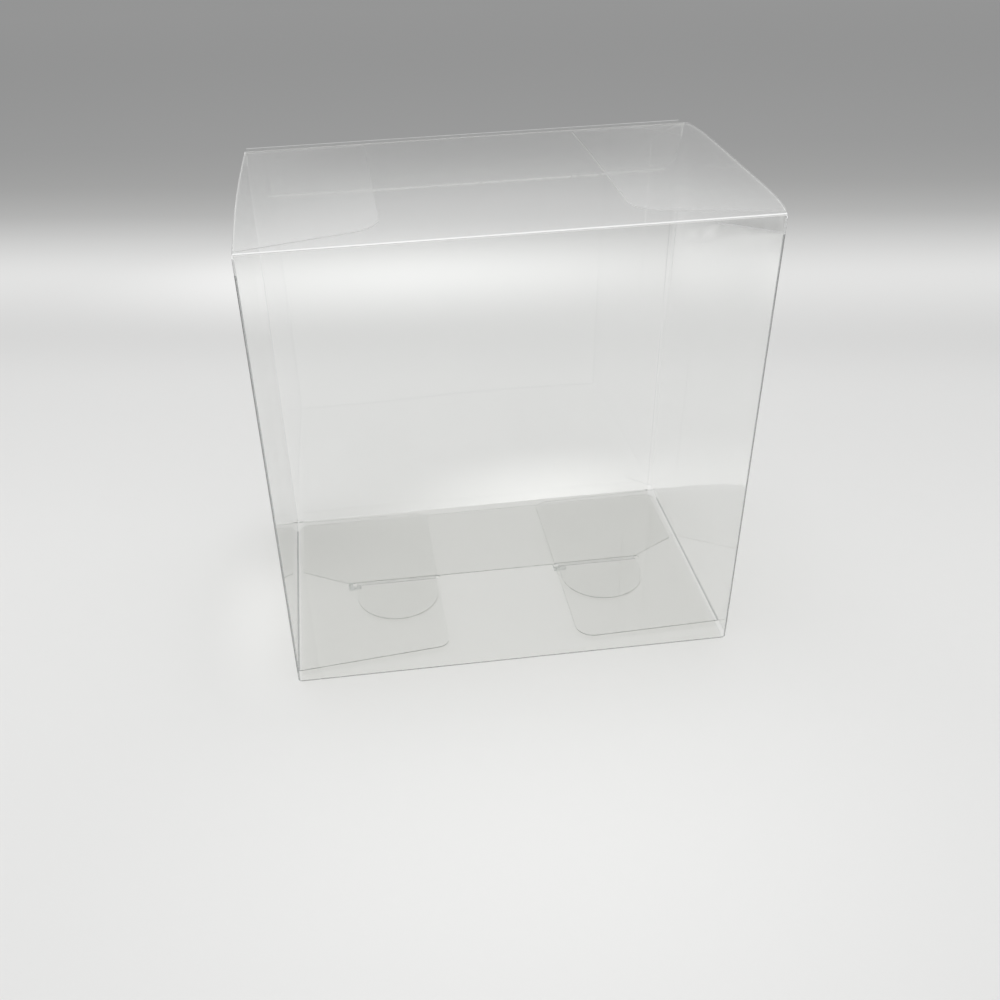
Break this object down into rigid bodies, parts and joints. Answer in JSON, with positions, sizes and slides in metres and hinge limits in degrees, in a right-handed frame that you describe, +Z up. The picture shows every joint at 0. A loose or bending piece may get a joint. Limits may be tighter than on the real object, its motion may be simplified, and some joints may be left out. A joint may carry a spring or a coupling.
{
  "type": "clear folding box protector",
  "caption": "Clear film box that stands empty, with a tuck lid hinged on the front and a bottom locked by half-moon tongues in slits.",
  "frame": {"origin": "middle of the base, on the surface the box stands on", "axes": "+X along the width to the right of someone facing the front wall, -Y out of the front wall, +Z up"},
  "size_m": [0.192, 0.129, 0.191],
  "materials": {
    "clear_film": "clear glossy film, slightly grey where layers lie over each other"
  },
  "bodies": {
    "sleeve": {"film_sleeve": "clear_film"},
    "lid": {"lid": "clear_film"}
  },
  "joints": [
    {"name": "lid_hinge", "type": "hinge", "parent": "sleeve", "child": "lid", "pos_m": [0, -0.0643, 0.1908], "axis": [1, 0, 0], "range_deg": [0, 180]}
  ]
}
